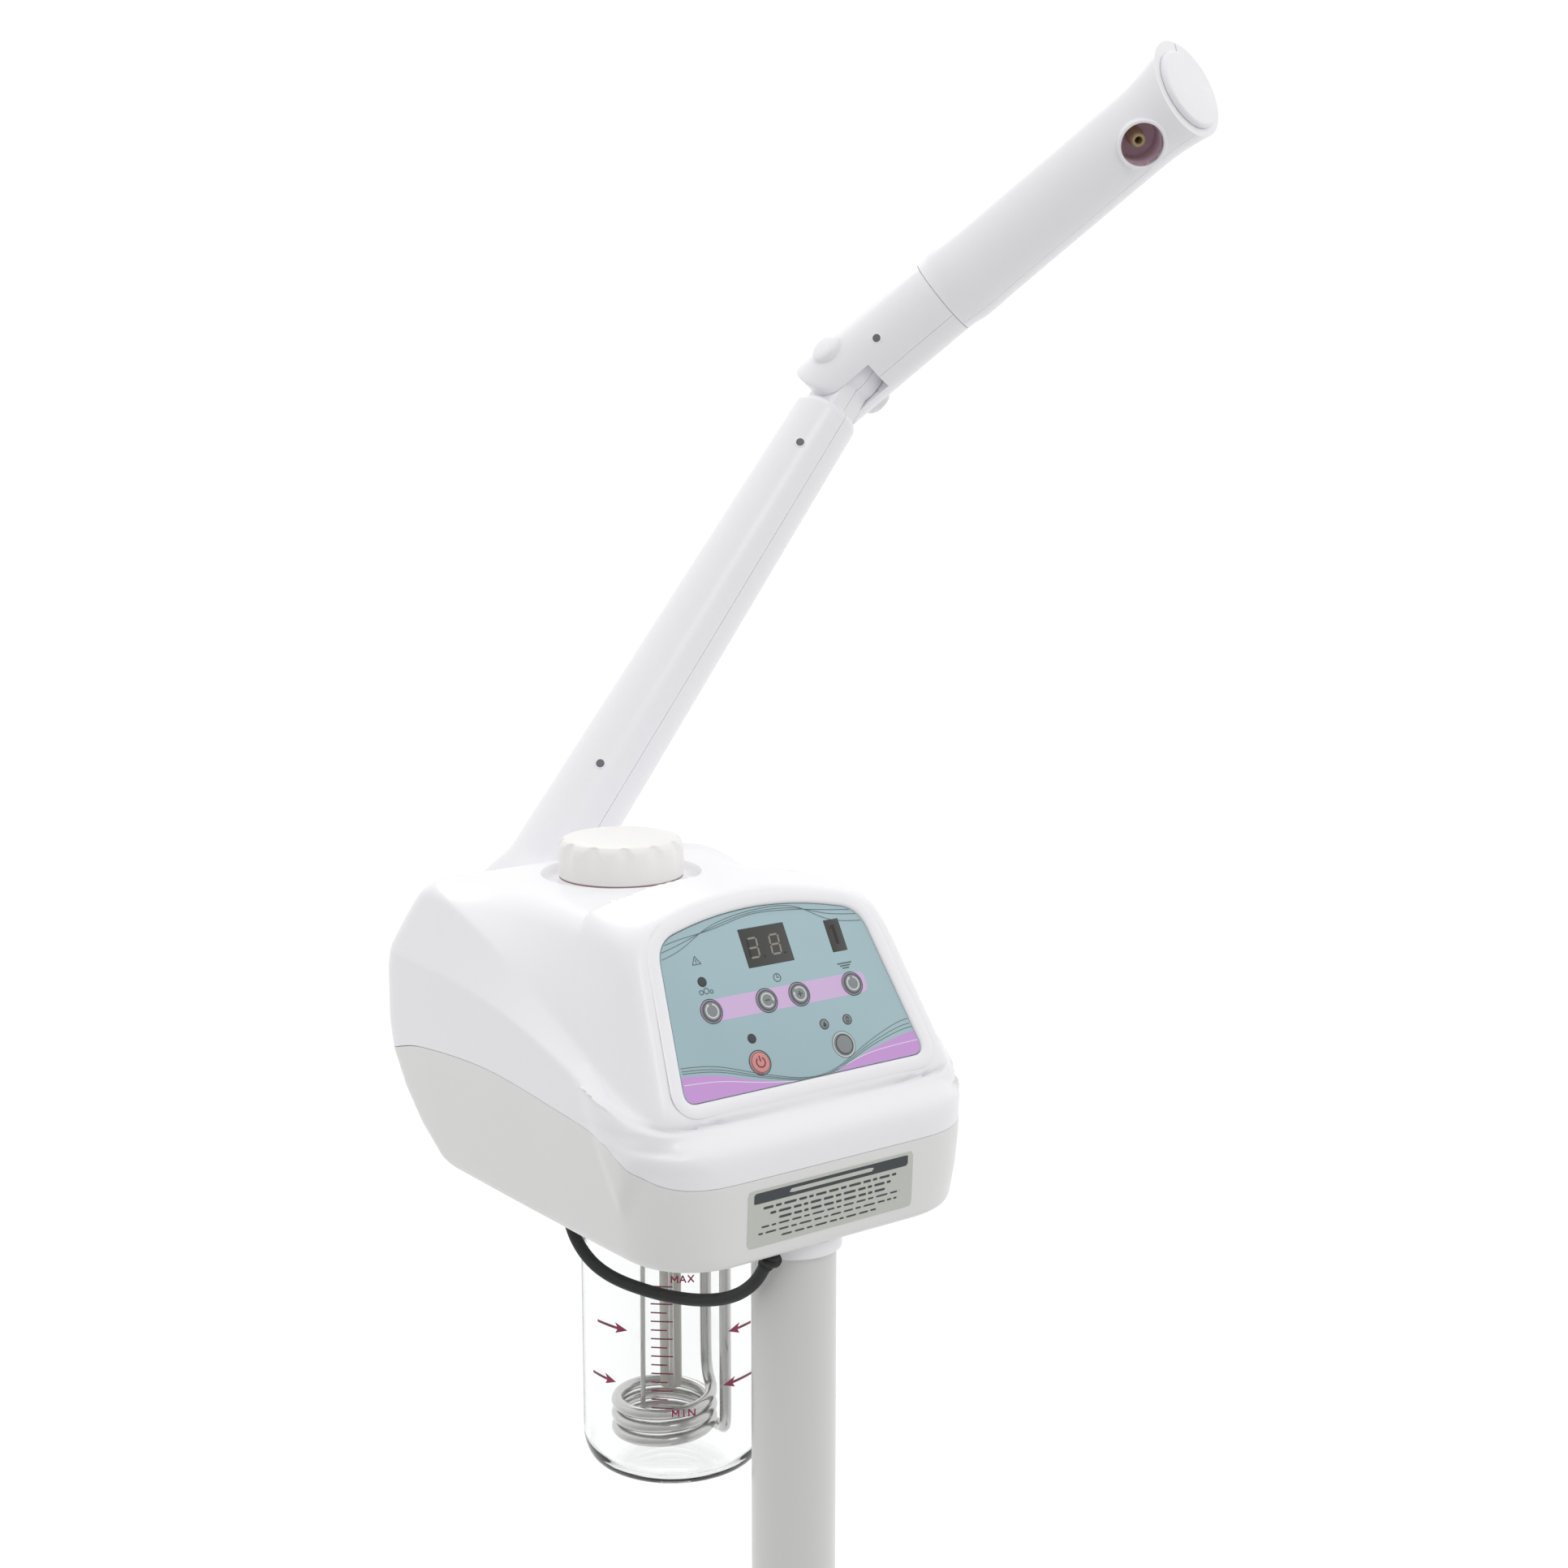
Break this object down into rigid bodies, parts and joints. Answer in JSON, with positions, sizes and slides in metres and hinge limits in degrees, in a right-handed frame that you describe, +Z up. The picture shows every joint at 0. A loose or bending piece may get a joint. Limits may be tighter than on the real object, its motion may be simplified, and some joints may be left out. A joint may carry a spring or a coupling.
{
  "type": "facial steamer",
  "caption": "Floor-standing facial steamer: plastic head with sloped control panel, glass water jar, folding steam arm with rolling nozzle, adjustable column on a caster base.",
  "frame": {"origin": "on the column's axis, at the flat underside of the star base; the casters reach 62 mm below it", "axes": "+Z up along the column, -Y to the front with the control panel, +X to the right seen from the front, where the arm leans"},
  "size_m": [0.7731, 0.5931, 1.6298],
  "materials": {
    "head_white": "moulded white, satin gloss",
    "head_grey_white": "moulded off-white, satin",
    "white_gloss": "moulded white, gloss",
    "cap_white": "moulded warm white, soft satin",
    "column_paint": "light grey powder coat, satin",
    "black_plastic": "moulded black, fine grain",
    "black_rubber": "matt black jacket",
    "wheel_tyre": "matt dark tread",
    "stainless": "bright stainless",
    "jar_glass": "clear borosilicate glass",
    "lamp_glass": "clear lamp glass",
    "silicone": "translucent silicone",
    "panel_film": "printed polyester film",
    "display_window": "dark display window",
    "button_grey": "printed soft button",
    "button_red": "printed soft red button",
    "label_film": "printed grey label",
    "circuit_board": "green laminate",
    "tip_beige": "heat resistant beige plastic"
  },
  "bodies": {
    "base": {"star_base": "white_gloss", "column_sleeve": "column_paint", "sleeve_bush": "black_plastic", "clamp_collar": "black_plastic"},
    "knob": {"clamp_knob": "black_plastic"},
    "head": {"column_tube": "column_paint", "column_socket": "head_white", "lower_cover": "head_grey_white", "upper_cover": "head_white", "control_label": "panel_film", "control_board": "circuit_board", "timer_display": "display_window", "level_display": "display_window", "filler_neck": "cap_white", "fill_tube": "silicone", "boiler_lid": "stainless", "jar_gasket": "silicone", "heater_coil": "stainless", "level_probe_long": "stainless", "level_probe_short": "stainless", "steam_hose": "silicone", "ozone_lamp": "lamp_glass", "power_board": "circuit_board", "front_label": "label_film", "mains_inlet": "black_plastic", "front_gland": "black_rubber", "rear_gland": "black_rubber", "jumper_lead": "black_rubber", "arm_pivot": "head_white"},
    "jar": {"glass_jar": "jar_glass"},
    "cap": {"filler_cap": "cap_white"},
    "lower_arm": {"lower_arm_left": "head_white", "lower_arm_right": "head_white", "arm_hose": "silicone"},
    "upper_arm": {"upper_arm_left": "head_white", "upper_arm_right": "head_white", "elbow_pin": "stainless", "elbow_cap_left": "head_white", "elbow_cap_right": "head_white"},
    "nozzle": {"nozzle_left": "head_white", "nozzle_right": "head_white", "outlet_ring": "head_white", "steam_tip": "tip_beige"},
    "aroma": {"aroma_cap": "head_white"},
    "ozone_button": {"ozone_button": "button_grey"},
    "minus_button": {"minus_button": "button_grey"},
    "plus_button": {"plus_button": "button_grey"},
    "energy_button": {"energy_button": "button_grey"},
    "power_button": {"power_button": "button_red"},
    "mode_button": {"mode_button": "button_grey"},
    "caster_1": {"caster_fork_1": "black_plastic"},
    "wheel_1": {"caster_wheel_1": "wheel_tyre"},
    "caster_2": {"caster_fork_2": "black_plastic"},
    "wheel_2": {"caster_wheel_2": "wheel_tyre"},
    "caster_3": {"caster_fork_3": "black_plastic"},
    "wheel_3": {"caster_wheel_3": "wheel_tyre"},
    "caster_4": {"caster_fork_4": "black_plastic"},
    "wheel_4": {"caster_wheel_4": "wheel_tyre"},
    "caster_5": {"caster_fork_5": "black_plastic"},
    "wheel_5": {"caster_wheel_5": "wheel_tyre"}
  },
  "joints": [
    {"name": "height_slide", "type": "slide", "parent": "base", "child": "head", "axis": [0, 0, 1], "range_m": [-0.1, 0.12]},
    {"name": "clamp_turn", "type": "hinge", "parent": "base", "child": "knob", "pos_m": [0, 0, 0.505], "axis": [1, 0, 0], "range_deg": [0, 360]},
    {"name": "arm_swing", "type": "hinge", "parent": "head", "child": "lower_arm", "pos_m": [0, 0.313, 0.975], "axis": [0, 1, 0], "range_deg": [-77, 15]},
    {"name": "elbow_fold", "type": "hinge", "parent": "lower_arm", "child": "upper_arm", "pos_m": [0.29009, 0.313, 1.3397], "axis": [0.7826, 0, -0.6225], "range_deg": [-30, 50]},
    {"name": "nozzle_roll", "type": "hinge", "parent": "upper_arm", "child": "nozzle", "pos_m": [0.33368, 0.26306, 1.39449], "axis": [0.5068, -0.5807, 0.6371], "range_deg": [-135, 135]},
    {"name": "aroma_turn", "type": "hinge", "parent": "nozzle", "child": "aroma", "pos_m": [0.44461, 0.13301, 1.53474], "axis": [0.2085, -0.8766, 0.4336], "range_deg": [0, 60]},
    {"name": "cap_turn", "type": "hinge", "parent": "head", "child": "cap", "pos_m": [0, 0.18, 1.042], "axis": [0, 0, 1], "range_deg": [0, 90]},
    {"name": "jar_drop", "type": "slide", "parent": "head", "child": "jar", "axis": [0, 0, -1], "range_m": [0, 0.19]},
    {"name": "ozone_press", "type": "slide", "parent": "head", "child": "ozone_button", "axis": [0, 0.8643, -0.503], "range_m": [0, 0.0012], "stiffness_N_per_m": 400},
    {"name": "minus_press", "type": "slide", "parent": "head", "child": "minus_button", "axis": [0, 0.8643, -0.503], "range_m": [0, 0.0012], "stiffness_N_per_m": 400},
    {"name": "plus_press", "type": "slide", "parent": "head", "child": "plus_button", "axis": [0, 0.8643, -0.503], "range_m": [0, 0.0012], "stiffness_N_per_m": 400},
    {"name": "energy_press", "type": "slide", "parent": "head", "child": "energy_button", "axis": [0, 0.8643, -0.503], "range_m": [0, 0.0012], "stiffness_N_per_m": 400},
    {"name": "power_press", "type": "slide", "parent": "head", "child": "power_button", "axis": [0, 0.8643, -0.503], "range_m": [0, 0.0012], "stiffness_N_per_m": 400},
    {"name": "mode_press", "type": "slide", "parent": "head", "child": "mode_button", "axis": [0, 0.8643, -0.503], "range_m": [0, 0.0012], "stiffness_N_per_m": 400},
    {"name": "caster_swivel_1", "type": "hinge", "parent": "base", "child": "caster_1", "pos_m": [0, 0.262, -0.004], "axis": [0, 0, 1], "continuous": true},
    {"name": "wheel_spin_1", "type": "hinge", "parent": "caster_1", "child": "wheel_1", "pos_m": [0, 0.277, -0.037], "axis": [-1, 0, 0], "continuous": true},
    {"name": "caster_swivel_2", "type": "hinge", "parent": "base", "child": "caster_2", "pos_m": [-0.24918, 0.08096, -0.004], "axis": [0, 0, 1], "continuous": true},
    {"name": "wheel_spin_2", "type": "hinge", "parent": "caster_2", "child": "wheel_2", "pos_m": [-0.26344, 0.0856, -0.037], "axis": [-0.309, -0.9511, 0], "continuous": true},
    {"name": "caster_swivel_3", "type": "hinge", "parent": "base", "child": "caster_3", "pos_m": [-0.154, -0.21196, -0.004], "axis": [0, 0, 1], "continuous": true},
    {"name": "wheel_spin_3", "type": "hinge", "parent": "caster_3", "child": "wheel_3", "pos_m": [-0.16282, -0.2241, -0.037], "axis": [0.809, -0.5878, 0], "continuous": true},
    {"name": "caster_swivel_4", "type": "hinge", "parent": "base", "child": "caster_4", "pos_m": [0.154, -0.21196, -0.004], "axis": [0, 0, 1], "continuous": true},
    {"name": "wheel_spin_4", "type": "hinge", "parent": "caster_4", "child": "wheel_4", "pos_m": [0.16282, -0.2241, -0.037], "axis": [0.809, 0.5878, 0], "continuous": true},
    {"name": "caster_swivel_5", "type": "hinge", "parent": "base", "child": "caster_5", "pos_m": [0.24918, 0.08096, -0.004], "axis": [0, 0, 1], "continuous": true},
    {"name": "wheel_spin_5", "type": "hinge", "parent": "caster_5", "child": "wheel_5", "pos_m": [0.26344, 0.0856, -0.037], "axis": [-0.309, 0.9511, 0], "continuous": true}
  ]
}
